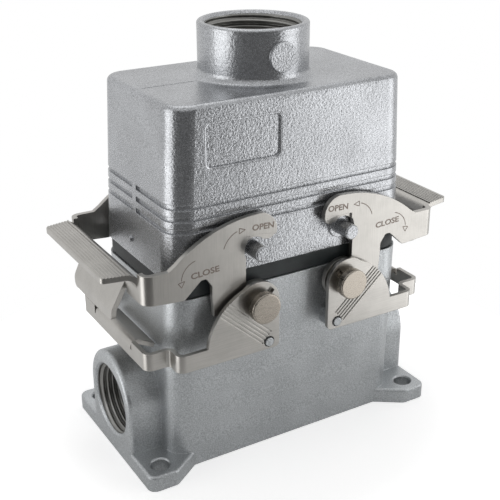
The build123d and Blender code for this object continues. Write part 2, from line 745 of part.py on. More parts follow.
# Inserts, mated: sleeves in the lower block, pins in the upper one
shroud_length = mating_length + 2 * shroud_clearance + 2 * shroud_wall
shroud_width = mating_width + 2 * shroud_clearance + 2 * shroud_wall
contact_grid = (contact_pitch, contact_rows, contact_columns, 2)
sleeve_top = female_face - sleeve_recess
side_holes_female = female_bottom + contact_end + terminal_from_end
side_holes_male = male_top - contact_end - terminal_from_end


def terminal_places(level, reach):
    """Places of the terminal screws along both long sides, axes pointing outwards."""
    places = []
    for facing in faces.values():
        for column in range(contact_columns):
            across = (column - (contact_columns - 1) / 2) * contact_pitch
            places.append(Plane((across, facing * reach, level), x_dir=(1, 0, 0), z_dir=(0, facing, 0)))
    return places


with BuildPart() as female_insert:
    with BuildSketch(Plane.XY.offset(female_bottom)):
        RectangleRounded(insert_length, insert_width, insert_corner_radius)
    extrude(amount=insert_body_height)
    with BuildSketch(Plane.XY.offset(female_seat)):
        RectangleRounded(mating_length, mating_width, insert_corner_radius)
    extrude(amount=female_face - female_seat)
    with BuildSketch(Plane.XY.offset(female_bottom)):
        with GridLocations(*contact_grid):
            Circle(sleeve_diameter / 2 + seat_clearance)
    extrude(amount=female_face - female_bottom, mode=Mode.SUBTRACT)
    for place in terminal_places(side_holes_female, insert_width / 2):
        with BuildSketch(place):
            Circle(terminal_screw_diameter / 2 + seat_clearance)
        extrude(amount=-(insert_width - contact_rows) / 2, mode=Mode.SUBTRACT)
save(female_insert.part, "female_insert")

with BuildPart() as male_insert:
    with BuildSketch(Plane.XY.offset(male_seat)):
        RectangleRounded(insert_length, insert_width, insert_corner_radius)
    extrude(amount=insert_body_height)
    with BuildSketch(Plane.XY.offset(male_seat)):
        RectangleRounded(shroud_length, shroud_width, shroud_corner_radius + shroud_wall)
    extrude(amount=-plate_thickness - shroud_depth)
    with BuildSketch(Plane.XY.offset(male_plate_bottom - shroud_depth)):
        RectangleRounded(mating_length + 2 * shroud_clearance, mating_width + 2 * shroud_clearance,
                         shroud_corner_radius)
    extrude(amount=shroud_depth, mode=Mode.SUBTRACT)
    with BuildSketch(Plane.XY.offset(male_plate_bottom)):
        with GridLocations(*contact_grid):
            Circle(contact_diameter / 2 + seat_clearance)
    extrude(amount=plate_thickness, mode=Mode.SUBTRACT)
    with BuildSketch(Plane.XY.offset(male_seat)):
        with GridLocations(*contact_grid):
            Circle(sleeve_diameter / 2 + seat_clearance)
    extrude(amount=insert_body_height, mode=Mode.SUBTRACT)
    for place in terminal_places(side_holes_male, insert_width / 2):
        with BuildSketch(place):
            Circle(terminal_screw_diameter / 2 + seat_clearance)
        extrude(amount=-(insert_width - contact_rows) / 2, mode=Mode.SUBTRACT)
save(male_insert.part, "male_insert")

with BuildPart() as female_contacts:
    with BuildSketch(Plane.XY.offset(female_bottom + contact_end)):
        with GridLocations(*contact_grid):
            Circle(sleeve_diameter / 2)
    extrude(amount=sleeve_top - female_bottom - contact_end)
    with BuildSketch(Plane.XY.offset(sleeve_top)):
        with GridLocations(*contact_grid):
            Circle(contact_diameter / 2 + running_clearance)
    extrude(amount=-sleeve_depth, mode=Mode.SUBTRACT)
    with BuildSketch(Plane.XY.offset(female_bottom + contact_end)):
        with GridLocations(*contact_grid):
            Circle(wire_bore_diameter / 2)
    extrude(amount=wire_bore_depth, mode=Mode.SUBTRACT)
save(female_contacts.part, "female_contacts")

with BuildPart() as male_contacts:
    with BuildSketch(Plane.XY.offset(male_seat)):
        with GridLocations(*contact_grid):
            Circle(sleeve_diameter / 2)
    extrude(amount=insert_body_height - contact_end)
    with BuildSketch(Plane.XY.offset(male_seat)):
        with GridLocations(*contact_grid):
            Circle(contact_diameter / 2)
    extrude(amount=-plate_thickness - pin_reach)
    fillet(male_contacts.edges().group_by(Axis.Z)[0], pin_tip_round)
    with BuildSketch(Plane.XY.offset(male_top - contact_end)):
        with GridLocations(*contact_grid):
            Circle(wire_bore_diameter / 2)
    extrude(amount=-wire_bore_depth, mode=Mode.SUBTRACT)
save(male_contacts.part, "male_contacts")

for gender, level in (("female", side_holes_female), ("male", side_holes_male)):
    screw_seat = contact_rows / 2 + sleeve_diameter / 2 + seat_clearance
    with BuildPart() as terminal_screws:
        for place in terminal_places(level, screw_seat):
            with BuildSketch(place):
                Circle(terminal_screw_diameter / 2)
            extrude(amount=terminal_screw_length)
        for place in terminal_places(level, screw_seat + terminal_screw_length):
            with BuildSketch(place):
                Rectangle(driver_slot_width, terminal_screw_diameter)
            extrude(amount=-driver_slot_depth, mode=Mode.SUBTRACT)
    save(terminal_screws.part, f"{gender}_terminal_screws")


def headed_screws(level, upwards, length, places):
    """Cheese-head screws whose heads sit at a level, with the heads above or below it."""
    way = 1 if upwards else -1
    with BuildPart() as screws:
        with BuildSketch(Plane.XY.offset(level)):
            with Locations(*places):
                Circle(fixing_screw_diameter / 2)
        extrude(amount=-way * length)
        with BuildSketch(Plane.XY.offset(level)):
            with Locations(*places):
                Circle(fixing_head_diameter / 2)
        extrude(amount=way * fixing_head_height)
        with BuildSketch(Plane.XY.offset(level + way * fixing_head_height)):
            with Locations(*places):
                Rectangle(driver_slot_width, fixing_head_diameter)
        extrude(amount=-way * driver_slot_depth, mode=Mode.SUBTRACT)
    return screws.part


fixing_places = [(x * fixing_spacing_x / 2, y * fixing_spacing_y / 2) for x in (-1, 1) for y in (-1, 1)]
earth_places = [(-earth_screw_place, 0), (earth_screw_place, 0)]
save(headed_screws(female_plate_top, True, fixing_screw_length, fixing_places), "female_fixing_screws")
save(headed_screws(male_plate_bottom, False, fixing_screw_length, fixing_places), "male_fixing_screws")
save(headed_screws(female_seat, False, earth_screw_length, earth_places), "female_earth_screws")
save(headed_screws(male_seat, True, earth_screw_length, earth_places), "male_earth_screws")

# Earth plates, one at each end of each insert, with tongues that meet side by side
plate_kinds = {"female": (female_seat, mating_length / 2 + fit_gap, female_plate_top, 1, 1),
               "male": (male_plate_bottom, shroud_length / 2 + fit_gap, male_plate_bottom, -1, -1)}
for gender, (bottom, inner_end, tongue_root, rise, tongue_side) in plate_kinds.items():
    for side_name, direction in sides.items():
        with BuildPart() as plate:
            with BuildSketch(Plane.XY.offset(bottom)) as outline:
                with Locations((direction * (inner_end + plate_end) / 2, 0)):
                    Rectangle(plate_end - inner_end, plate_width)
                fillet(outline.vertices().group_by(Axis.X)[-1 if direction > 0 else 0], plate_corner_radius)
                with Locations(*fixing_places, *earth_places):
                    Circle(fixing_screw_diameter / 2 + fit_gap, mode=Mode.SUBTRACT)
            extrude(amount=plate_thickness)
            with BuildSketch(Plane.XY.offset(tongue_root)):
                tongue_centre = tongue_place + tongue_side * (tongue_thickness + fit_gap) / 2
                with Locations((direction * tongue_centre, 0)):
                    Rectangle(tongue_thickness, tongue_width)
            extrude(amount=rise * tongue_length)
        save(plate.part, f"{gender}_earth_plate_{side_name}")
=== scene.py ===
"""Finishes, etched marks, threads and studio for a heavy duty rectangular connector.

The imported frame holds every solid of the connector. This file gives each of them its finish,
adds the screw threads, the etched words and arrows on the levers, the casting seam over the
hood and the sloped edge of its label panel, and sets the stage. Everything is in metres, with
+Z up and the front face towards -Y.
"""

import math

import bpy
import numpy as np
from bpy.props import FloatProperty, FloatVectorProperty, IntProperty, PointerProperty
from bpy.types import Operator, Panel, PropertyGroup
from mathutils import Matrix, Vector


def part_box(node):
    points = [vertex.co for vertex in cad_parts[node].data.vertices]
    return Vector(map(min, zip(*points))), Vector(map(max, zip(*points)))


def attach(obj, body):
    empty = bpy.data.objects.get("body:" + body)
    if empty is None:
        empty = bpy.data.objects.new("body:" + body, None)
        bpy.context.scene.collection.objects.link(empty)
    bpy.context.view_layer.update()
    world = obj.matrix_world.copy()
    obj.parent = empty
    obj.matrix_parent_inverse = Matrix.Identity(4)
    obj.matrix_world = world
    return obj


bl_info = {
    "name": "Rectangular Connector",
    "version": (1, 0, 0),
    "blender": (4, 5, 0),
    "location": "3D View > Sidebar > Connector",
    "description": "Finishes, threads, etched marks and studio for a rectangular connector",
    "category": "Object",
}

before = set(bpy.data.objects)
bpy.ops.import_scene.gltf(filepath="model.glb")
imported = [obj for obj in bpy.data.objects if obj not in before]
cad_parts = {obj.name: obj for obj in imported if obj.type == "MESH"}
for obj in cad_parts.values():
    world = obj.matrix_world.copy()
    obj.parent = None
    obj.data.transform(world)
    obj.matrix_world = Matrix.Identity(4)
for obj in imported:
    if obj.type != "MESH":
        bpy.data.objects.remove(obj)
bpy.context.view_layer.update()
MM = 0.001


def colour(name, default, description):
    """Colour property with the usual range."""
    return FloatVectorProperty(
        name=name, description=description, default=default, size=3, min=0, max=1, subtype="COLOR")


def length(name, default, description):
    """Length property in metres."""
    return FloatProperty(
        name=name, description=description, default=default, min=0, precision=5, unit="LENGTH")


def share(name, default, description):
    """Property between 0 and 1."""
    return FloatProperty(name=name, description=description, default=default, min=0, max=1)


def power(name, default, description):
    """Power of a lamp in watts."""
    return FloatProperty(name=name, description=description, default=default, min=0, unit="POWER")


class PaintSettings(PropertyGroup):
    """Finish of the die-cast housings."""

    tint: colour("Paint", (0.55, 0.563, 0.585), "Colour of the silver grey coat on its grains")
    dark: colour("Paint in the hollows", (0.29, 0.296, 0.306), "Colour between the grains of the coat")
    base_tint: colour("Base paint", (0.57, 0.59, 0.602), "Colour of the flatter coat on the base")
    base_dark: colour("Base paint in the hollows", (0.35, 0.364, 0.374), "Its colour between the grains")
    grain: length("Grain", 0.6 * MM, "Size of one grain of the hammered coat")
    relief: length("Relief", 0.075 * MM, "Height of the hammered coat on the hood")
    base_relief: length("Base relief", 0.075 * MM, "Height of the flatter coat on the base")
    roughness: share("Roughness", 0.26, "Roughness of the coat")
    base_roughness: share("Base roughness", 0.4, "Roughness of the flatter coat on the base")
    metallic: share("Metallic", 0.85, "How metallic the flakes of the coat look")


class SteelSettings(PropertyGroup):
    """Finish of the levers, brackets and pins."""

    sheet: colour("Sheet steel", (0.505, 0.49, 0.463), "Colour of the stainless sheet")
    pin: colour("Pin steel", (0.385, 0.35, 0.305), "Colour of the turned pivot pins")
    roughness: share("Roughness", 0.33, "Roughness of the rolled sheet")
    soft_edge: length("Soft edge", 0.18 * MM, "Radius that the light shows along stamped edges")


class InsideSettings(PropertyGroup):
    """Finish of the seal, the inserts and what they carry."""

    rubber: colour("Rubber", (0.010, 0.013, 0.014), "Colour of the seal")
    bloom: colour("Bloom", (0.022, 0.030, 0.031), "Colour of the faint bloom on the seal")
    plastic: colour("Plastic", (0.50, 0.51, 0.48), "Colour of the inserts")
    contact: colour("Contacts", (0.72, 0.71, 0.69), "Colour of the contacts' plating")
    contact_roughness: share("Contact roughness", 0.24, "Roughness of the contacts")
    screw: colour("Screws", (0.60, 0.61, 0.62), "Colour of the screws' plating")
    screw_roughness: share("Screw roughness", 0.3, "Roughness of the screws")
    plate: colour("Earth plates", (0.58, 0.58, 0.57), "Colour of the earth plates")
    plate_roughness: share("Plate roughness", 0.34, "Roughness of the earth plates")


class ThreadSettings(PropertyGroup):
    """Internal threads of the two cable entries."""

    pitch: length("Pitch", 1.5 * MM, "Pitch of both threads")
    depth: length("Depth", 0.8 * MM, "Height of the crests above the bore")
    top_radius: length("Top radius", 12.5 * MM, "Radius of the collar's bore")
    top_reach: length("Top reach", 15.6 * MM, "Length of the thread in the collar")
    side_radius: length("Side radius", 10.0 * MM, "Radius of the side entry's bore")
    side_reach: length("Side reach", 11.7 * MM, "Length of the thread in the side entry")
    side_height: length("Side height", 15.5 * MM, "Height of the side entry's axis")
    mouth: length("Mouth", 0.8 * MM, "Depth of the smooth chamfer before each thread")
    around: IntProperty(name="Steps around", description="Steps around each thread", default=160, min=24)
    # Thread tone: bare cut metal, set darker than the housings' paint as painted shade of the bores' insides.
    tone: colour("Thread tone", (0.31, 0.308, 0.295), "Colour of the threads, less coated than the housings")
    roughness: share("Roughness", 0.38, "Roughness of the threads")


class MarkSettings(PropertyGroup):
    """Words and arrows etched on the levers."""

    tone: colour("Etching", (0.27, 0.232, 0.205), "Colour of the etched lines")
    roughness: share("Roughness", 0.5, "Roughness of the etched lines")
    letter_height: length("Letter height", 1.7 * MM, "Height of the etched capitals")
    stroke: length("Stroke", 0.24 * MM, "Width of an etched line")
    relief: length("Relief", 0.03 * MM, "Height of the burr along the etched lines")


class SeamSettings(PropertyGroup):
    """Casting seam over the hood, and the edge of its label panel."""

    width: length("Width", 0.45 * MM, "Width of the seam where the die halves met")
    relief: length("Relief", 0.05 * MM, "Height of the seam")
    start: length("Start", 1.7 * MM, "How far below the top the seam starts")
    inner: length("Inner end", 16.9 * MM, "How far from the middle the seam meets the collar's foot")
    rim: length("Rim", 56.2 * MM, "Height of the hood's rim")
    roof: length("Roof", 100.7 * MM, "Height of the hood's flat top")
    foot: length("Foot", 36.5 * MM, "Half the hood's length at its rim")
    crown: length("Crown", 34.3 * MM, "Half the hood's length at its top")
    roll: length("Roll", 1.5 * MM, "Radius of the hood's upper edge")
    face_low: length("Front at rim", 21.5 * MM, "How far the hood's front stands out at its rim")
    face_high: length("Front at top", 21.2 * MM, "How far the hood's front stands out at its top")
    panel_from_centre: length("Panel place", 15.3 * MM, "Distance of the label panel's middle left of centre")
    panel_z: length("Panel level", 90.3 * MM, "Height of the label panel's middle")
    panel_long: length("Panel half length", 10.85 * MM, "Half the length of the label panel")
    panel_tall: length("Panel half height", 5.9 * MM, "Half the height of the label panel")
    panel_corner: length("Panel corner", 1.8 * MM, "Radius of the label panel's corners")
    panel_depth: length("Panel depth", 0.7 * MM, "How deep the label panel is sunk")
    lip: length("Lip", 0.55 * MM, "Width of the slope round the label panel's edge")
    lip_fall: length("Lip fall", 0.13 * MM, "How far that slope falls")


class StageSettings(PropertyGroup):
    """Camera, lamps and floor."""

    lens: FloatProperty(name="Lens", description="Focal length in mm", default=69.41, min=1, unit="CAMERA")
    floor: colour("Floor", (0.8, 0.8, 0.8), "Colour of the round table top")
    table: length("Table radius", 102 * MM, "Radius of the round table top under the object")
    world: share("Ambient", 0.42, "Strength of the light from all around")
    behind: share("Wall", 0.85, "Brightness of the wall behind the object, as gloss sees it")
    ceiling: share("Ceiling", 0.8, "Brightness of the ceiling, as gloss sees it")
    dim: share("Dim side", 0.12, "Brightness of the room on the camera's side, as gloss sees it")
    glow: share("Glow", 0.32, "How much of the table's own glow gloss sees")
    key: power("Key", 9.3, "Power of the right soft box")
    fill: power("Fill", 8.6, "Power of the left soft box")
    top: power("Top", 4.0, "Power of the top soft box")


GROUPS = {
    "connector_paint": PaintSettings,
    "connector_steel": SteelSettings,
    "connector_inside": InsideSettings,
    "connector_thread": ThreadSettings,
    "connector_marks": MarkSettings,
    "connector_seams": SeamSettings,
    "connector_stage": StageSettings,
}


class Nodes:
    """A shader tree that is put together from plain calls."""

    def __init__(self, tree):
        self.tree = tree

    def add(self, kind, **values):
        """New node with its plain settings."""
        node = self.tree.nodes.new(kind)
        for key, value in values.items():
            setattr(node, key, value)
        return node

    def join(self, source, target):
        """Link between two sockets."""
        self.tree.links.new(source, target)

    def number(self, operation, first, second=0.0, third=0.0):
        """Arithmetic on sockets or plain numbers."""
        node = self.add("ShaderNodeMath", operation=operation)
        for socket, value in zip(node.inputs, (first, second, third)):
            if isinstance(value, (int, float)):
                socket.default_value = value
            else:
                self.join(value, socket)
        return node.outputs[0]

    def ease(self, factor, start, end, low, high):
        """Smooth step from low to high while the factor goes from start to end."""
        node = self.add("ShaderNodeMapRange", interpolation_type="SMOOTHSTEP")
        self.join(factor, node.inputs["Value"])
        node.inputs["From Min"].default_value = start
        node.inputs["From Max"].default_value = end
        node.inputs["To Min"].default_value = low
        node.inputs["To Max"].default_value = high
        return node.outputs[0]

    def sight(self):
        """Two factors: one for every ray that looks at something, and one for the camera alone."""
        rays = self.add("ShaderNodeLightPath").outputs
        seen = rays["Is Camera Ray"]
        for name in ("Is Glossy Ray", "Is Transmission Ray"):
            seen = self.number("MAXIMUM", seen, rays[name])
        return seen, rays["Is Camera Ray"]


class Finish(Nodes):
    """A material for the connector, with its patterns on the pieces' Object coordinates."""

    def __init__(self, name):
        self.material = bpy.data.materials.new(name)
        self.material.use_nodes = True
        super().__init__(self.material.node_tree)
        self.shader = self.tree.nodes["Principled BSDF"]
        self.place = self.add("ShaderNodeTexCoord").outputs["Object"]

    def noise(self, size, detail, rough=0.55):
        """Noise whose features have one size all round, or a size along each axis, in metres."""
        stretch = self.add("ShaderNodeMapping")
        self.join(self.place, stretch.inputs["Vector"])
        stretch.inputs["Scale"].default_value = 1 / np.broadcast_to(size, 3)
        node = self.add("ShaderNodeTexNoise")
        self.join(stretch.outputs[0], node.inputs["Vector"])
        node.inputs["Scale"].default_value = 1.0
        node.inputs["Detail"].default_value = detail
        node.inputs["Roughness"].default_value = rough
        return node.outputs["Fac"]

    def mix(self, first, second, part):
        """Two factors added up, with the given part of the first and the rest of the second."""
        return self.number("MULTIPLY_ADD", first, part, self.number("MULTIPLY", second, 1 - part))

    def ramp(self, factor, *stops):
        """Colour ramp between two (position, colour) stops."""
        node = self.add("ShaderNodeValToRGB")
        for point, (position, shade) in zip(node.color_ramp.elements, stops):
            point.position = position
            point.color = (*shade, 1)
        self.join(factor, node.inputs["Fac"])
        return node.outputs["Color"]

    def mottled(self, factor, tone, part, start=0.3, end=0.7):
        """Tone that goes from a darker part of itself to its full value with the factor."""
        return self.ramp(factor, (start, [part * value for value in tone]), (end, tone))

    def span(self, factor, low, high):
        """Factor from 0 to 1 brought to a range."""
        node = self.add("ShaderNodeMapRange")
        self.join(factor, node.inputs["Value"])
        node.inputs["To Min"].default_value = low
        node.inputs["To Max"].default_value = high
        return node.outputs[0]

    def bump(self, height, distance, normal=None):
        """Relief from a height between 0 and 1, on top of another normal if there is one."""
        node = self.add("ShaderNodeBump")
        self.join(height, node.inputs["Height"])
        node.inputs["Distance"].default_value = distance
        if normal is not None:
            self.join(normal, node.inputs["Normal"])
        return node.outputs[0]

    def soft_edge(self, radius):
        """Normal that rounds sharp edges where light falls on them."""
        node = self.add("ShaderNodeBevel", samples=6)
        node.inputs["Radius"].default_value = radius
        return node.outputs[0]

    def set(self, **values):
        """Values or sockets for the shader, by the names of its inputs."""
        for key, value in values.items():
            socket = self.shader.inputs[key.replace("_", " ").title()]
            if isinstance(value, bpy.types.NodeSocket):
                self.join(value, socket)
            elif isinstance(value, (int, float)):
                socket.default_value = value
            else:
                socket.default_value = (*value, 1)
        return self.material


def powder_coat(name, settings, relief, roughness, dark, tint):
    """Silver grey hammered paint: small wrinkled grains that glitter where they catch the light.

    Flakes of half a grain give three quarters of the shade, and broad clouds the rest.
    """
    finish = Finish(name)
    grains = finish.noise(size=settings.grain, detail=2, rough=0.6)
    flakes = finish.noise(size=0.5 * settings.grain, detail=1)
    clouds = finish.noise(size=14 * MM, detail=2)
    shade = finish.mix(clouds, flakes, part=0.25)
    spread = 0.05
    return finish.set(
        base_color=finish.ramp(shade, (0.36, dark), (0.64, tint)), metallic=settings.metallic,
        roughness=finish.span(flakes, roughness - spread, roughness + spread),
        normal=finish.bump(grains, relief, finish.soft_edge(radius=0.35 * MM)))


def satin_steel(name, settings, along):
    """Rolled stainless sheet: a soft sheen, broken by fine scratches along one axis."""
    finish = Finish(name)
    scratch = [0.12 * MM] * 3
    scratch[along] = 9 * MM
    brushed = finish.noise(size=scratch, detail=4)
    clouds = finish.noise(size=6 * MM, detail=3)
    shade = finish.mix(clouds, brushed, part=0.4)
    smoother, rougher = 0.03, 0.04
    return finish.set(
        base_color=finish.mottled(shade, settings.sheet, part=0.8, start=0.34, end=0.62), metallic=1.0,
        roughness=finish.span(brushed, settings.roughness - smoother, settings.roughness + rougher),
        normal=finish.bump(brushed, distance=0.0025 * MM, normal=finish.soft_edge(settings.soft_edge)))


def turned_steel(name, settings):
    """Turned pin with fine streaks across its face."""
    finish = Finish(name)
    streaks = finish.noise(size=(5 * MM, 5 * MM, 0.16 * MM), detail=3)
    return finish.set(
        base_color=finish.mottled(streaks, settings.pin, part=0.8), metallic=1.0,
        roughness=finish.span(streaks, low=0.2, high=0.34),
        normal=finish.bump(streaks, distance=0.01 * MM, normal=finish.soft_edge(radius=0.3 * MM)))


def seal_rubber(name, settings):
    """Black rubber with a faint green bloom and fine pores."""
    finish = Finish(name)
    bloom = finish.noise(size=4 * MM, detail=3)
    pores = finish.noise(size=0.3 * MM, detail=2)
    return finish.set(
        base_color=finish.ramp(bloom, (0.3, settings.rubber), (0.75, settings.bloom)),
        roughness=finish.span(pores, low=0.42, high=0.6),
        normal=finish.bump(pores, distance=0.02 * MM, normal=finish.soft_edge(radius=0.3 * MM)))


def moulded_plastic(name, tone):
    """Glass filled plastic with a fine matt skin."""
    finish = Finish(name)
    skin = finish.noise(size=0.25 * MM, detail=2)
    flow = finish.noise(size=7 * MM, detail=2)
    return finish.set(
        base_color=finish.mottled(flow, tone, part=0.8), roughness=finish.span(skin, low=0.4, high=0.58),
        normal=finish.bump(skin, distance=0.012 * MM, normal=finish.soft_edge(radius=0.15 * MM)))


def plated_metal(name, tone, roughness):
    """Plated metal with slightly uneven gloss."""
    finish = Finish(name)
    uneven = finish.noise(size=1.2 * MM, detail=3)
    smoother, rougher = 0.06, 0.08
    return finish.set(
        base_color=finish.mottled(uneven, tone, part=0.82), metallic=1.0,
        roughness=finish.span(uneven, roughness - smoother, roughness + rougher),
        normal=finish.bump(uneven, distance=0.008 * MM))


def dress(nodes, material):
    """Gives a finish to every material slot of the named frame nodes."""
    for name in nodes:
        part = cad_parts[name]
        for place in part.material_slots:
            place.material = material


def nodes_with(word):
    """Frame nodes whose names hold a word."""
    return [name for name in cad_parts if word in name]


def turn_outwards(mesh):
    """Turns the faces of a closed mesh round if the volume that they enclose comes out negative.

    The volume is the sum over all triangles of a corner's place dotted with the triangle's normal.
    """
    places = np.empty(len(mesh.vertices) * 3)
    mesh.vertices.foreach_get("co", places)
    places = places.reshape(-1, 3)
    mesh.calc_loop_triangles()
    triangles = np.empty(len(mesh.loop_triangles) * 3, dtype=int)
    mesh.loop_triangles.foreach_get("vertices", triangles)
    a, b, c = places[triangles.reshape(-1, 3)].transpose(1, 0, 2)
    if np.einsum("ij,ij->", a - places.mean(axis=0), np.cross(b - a, c - a)) < 0:
        mesh.flip_normals()


def piece(name, points, faces, material, body, smooth=True):
    """New mesh object with its faces outwards, which rides with a body of the frame."""
    mesh = bpy.data.meshes.new(name)
    mesh.from_pydata(np.asarray(points).reshape(-1, 3).tolist(), [], faces)
    mesh.polygons.foreach_set("use_smooth", np.full(len(mesh.polygons), smooth))
    mesh.update()
    mesh.validate()
    mesh.materials.append(material)
    turn_outwards(mesh)
    made = bpy.data.objects.new(name, mesh)
    bpy.context.scene.collection.objects.link(made)
    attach(made, body)


def quads(rows, columns, wrap_rows, wrap_columns):
    """Faces of a grid of points whose rows and columns may close on themselves.

    Each face joins a point, the next one in its row, and the two across from them in the next row.
    """
    row = np.arange(rows if wrap_rows else rows - 1)
    column = np.arange(columns if wrap_columns else columns - 1)
    a, b = np.meshgrid(row, column, indexing="ij")
    c, d = (a + 1) % rows, (b + 1) % columns
    corners = np.stack([a * columns + b, a * columns + d, c * columns + d, c * columns + b], axis=-1)
    return corners.reshape(-1, 4).tolist()


def thread_ring(bore, depth, low, high, pitch, around):
    """Closed ring with an internal screw thread about the Z axis.

    The radius falls from the bore to the crest and back once per pitch, as a triangle wave of
    height minus turns with its tips cut flat, and the wave dies out over one pitch at either
    end. A plain cylinder just outside the bore closes the ring at its back.
    """
    levels_per_pitch = 14
    seat = 0.02 * MM
    steep, sunk = 1.35, 0.15
    count = int((high - low) / pitch * levels_per_pitch) + 1
    level = np.linspace(low, high, count)[:, None]
    angle = np.linspace(0, 2 * math.pi, around, endpoint=False)[None, :]
    phase = (level / pitch - angle / (2 * math.pi)) % 1
    wave = np.clip(steep * (1 - np.abs(2 * phase - 1)) - sunk, 0, 1)
    ends = np.clip(np.minimum(level - low, high - level) / pitch, 0, 1)
    radius = np.vstack([bore - seat - depth * wave * ends, np.full((2, around), bore + seat)])
    height = np.vstack([level, [[high], [low]]]) * np.ones(around)
    points = np.stack([radius * np.cos(angle), radius * np.sin(angle), height], axis=-1)
    return points, quads(len(points), around, True, True)


def raised_line(path, normals, width, relief, closed=False):
    """Raised bead along a path: half an ellipse above the surface and a shallow keel below it.

    Each section stands square to the path, and its keel is half as deep as it is high. Open
    ends narrow to a tip over half the width, as the end of an ellipse does.
    """
    around = 10
    keel = 0.5
    tip = 0.02
    path = np.asarray(path, float)
    normals = np.asarray(normals, float) * np.ones_like(path)
    if closed:
        along = np.roll(path, -1, axis=0) - np.roll(path, 1, axis=0)
    else:
        along = np.gradient(path, axis=0)
    side = np.cross(along, normals)
    side /= np.linalg.norm(side, axis=1)[:, None]
    turn = np.linspace(0, 2 * math.pi, around, endpoint=False)
    across = np.cos(turn)[None, :, None] * side[:, None, :] * width / 2
    above = np.where(np.sin(turn) > 0, relief, keel * relief) * np.sin(turn)
    rise = above[None, :, None] * normals[:, None, :]
    faces = quads(len(path), around, closed, True)
    shrink = np.ones(len(path))
    if not closed:
        run = np.concatenate([[0], np.cumsum(np.linalg.norm(np.diff(path, axis=0), axis=1))])
        near = np.clip(np.minimum(run, run[-1] - run) / (width / 2), 0, 1)
        shrink = np.sqrt(np.clip(1 - (1 - near) ** 2, tip, 1))
        last = (len(path) - 1) * around
        faces.append(list(range(around))[::-1])
        faces.append([last + step for step in range(around)])
    return path[:, None, :] + (across + rise) * shrink[:, None, None], faces


def arc_through(first, middle, last, steps):
    """Points of the circle arc through three points in a plane.

    The centre lies at the same distance from all three, and the angle about it grows by even
    steps from the first point to the last.
    """
    ax, ay = first
    bx, by = middle
    cx, cy = last
    scale = 2 * (ax * (by - cy) + bx * (cy - ay) + cx * (ay - by))
    squares = [x * x + y * y for x, y in (first, middle, last)]
    ux = (squares[0] * (by - cy) + squares[1] * (cy - ay) + squares[2] * (ay - by)) / scale
    uy = (squares[0] * (cx - bx) + squares[1] * (ax - cx) + squares[2] * (bx - ax)) / scale
    angles = np.unwrap([math.atan2(y - uy, x - ux) for x, y in (first, middle, last)])
    turn = np.linspace(angles[0], angles[2], steps)
    radius = math.hypot(ax - ux, ay - uy)
    return np.stack([ux + radius * np.cos(turn), uy + radius * np.sin(turn)], axis=1)


def polygon_path(corners, steps):
    """Points round a closed polygon, with the same number of even steps on each side."""
    corners = np.asarray(corners, float)
    share_along = np.linspace(0, 1, steps, endpoint=False)[:, None]
    sides = [a + (b - a) * share_along for a, b in zip(corners, np.roll(corners, -1, axis=0))]
    return np.concatenate(sides)


def on_cheek(places, level):
    """Puts (x, z) places in mm on the plane of a lever's front cheek."""
    places = np.asarray(places, float) * MM
    return np.stack([places[:, 0], np.full(len(places), level), places[:, 1]], axis=1)


def word_mesh(word, wide, tall, relief):
    """Points and faces of a word that is brought to a given width, height and thickness.

    Along each axis a point's distance from the word's middle is divided by the word's own size
    and multiplied by the wanted one.
    """
    text = bpy.data.curves.new(word, "FONT")
    text.body = word
    text.resolution_u = 3
    text.extrude = 0.04
    text.bevel_depth = 0.03
    text.bevel_resolution = 1
    shown = bpy.data.objects.new(word, text)
    mesh = bpy.data.meshes.new_from_object(shown)
    points = np.empty(len(mesh.vertices) * 3)
    mesh.vertices.foreach_get("co", points)
    points = points.reshape(-1, 3)
    low, high = points.min(axis=0), points.max(axis=0)
    points = (points - (low + high) / 2) / (high - low) * np.array([wide, tall, 2 * relief])
    faces = [list(polygon.vertices) for polygon in mesh.polygons]
    bpy.data.objects.remove(shown)
    bpy.data.curves.remove(text)
    bpy.data.meshes.remove(mesh)
    return points, faces


class ConnectorOperator:
    """What the operators share."""

    bl_options = {"REGISTER"}


class CONNECTOR_OT_housings(ConnectorOperator, Operator):
    """Paint the base and the hood"""

    bl_idname = "connector.housings"
    bl_label = "Paint Housings"

    def execute(self, context):
        settings = context.scene.connector_paint
        dress(["hood_shell"], powder_coat(
            "hood_coat", settings, settings.relief, settings.roughness, settings.dark, settings.tint))
        dress(["base_housing"], powder_coat(
            "base_coat", settings, settings.base_relief, settings.base_roughness,
            settings.base_dark, settings.base_tint))
        return {"FINISHED"}


class CONNECTOR_OT_levers(ConnectorOperator, Operator):
    """Finish the levers, the spring brackets and the pivot pins"""

    bl_idname = "connector.levers"
    bl_label = "Finish Levers"

    def execute(self, context):
        settings = context.scene.connector_steel
        dress(nodes_with("lever_"), satin_steel("lever_steel", settings, along=2))
        dress(nodes_with("bracket_"), satin_steel("bracket_steel", settings, along=0))
        dress(nodes_with("pivot_pin_"), turned_steel("pin_steel", settings))
        return {"FINISHED"}


class CONNECTOR_OT_inside(ConnectorOperator, Operator):
    """Finish the seal, the inserts, the contacts and the screws"""

    bl_idname = "connector.inside"
    bl_label = "Finish Seal and Inserts"

    def execute(self, context):
        settings = context.scene.connector_inside
        dress(["rim_gasket"], seal_rubber("seal_rubber", settings))
        dress(["female_insert", "male_insert"], moulded_plastic("insert_plastic", settings.plastic))
        plating = plated_metal("contact_plating", settings.contact, settings.contact_roughness)
        dress(["female_contacts", "male_contacts"], plating)
        dress(nodes_with("_screws"), plated_metal("screw_zinc", settings.screw, settings.screw_roughness))
        zinc = plated_metal("earth_plate_zinc", settings.plate, settings.plate_roughness)
        dress(nodes_with("_earth_plate_"), zinc)
        return {"FINISHED"}


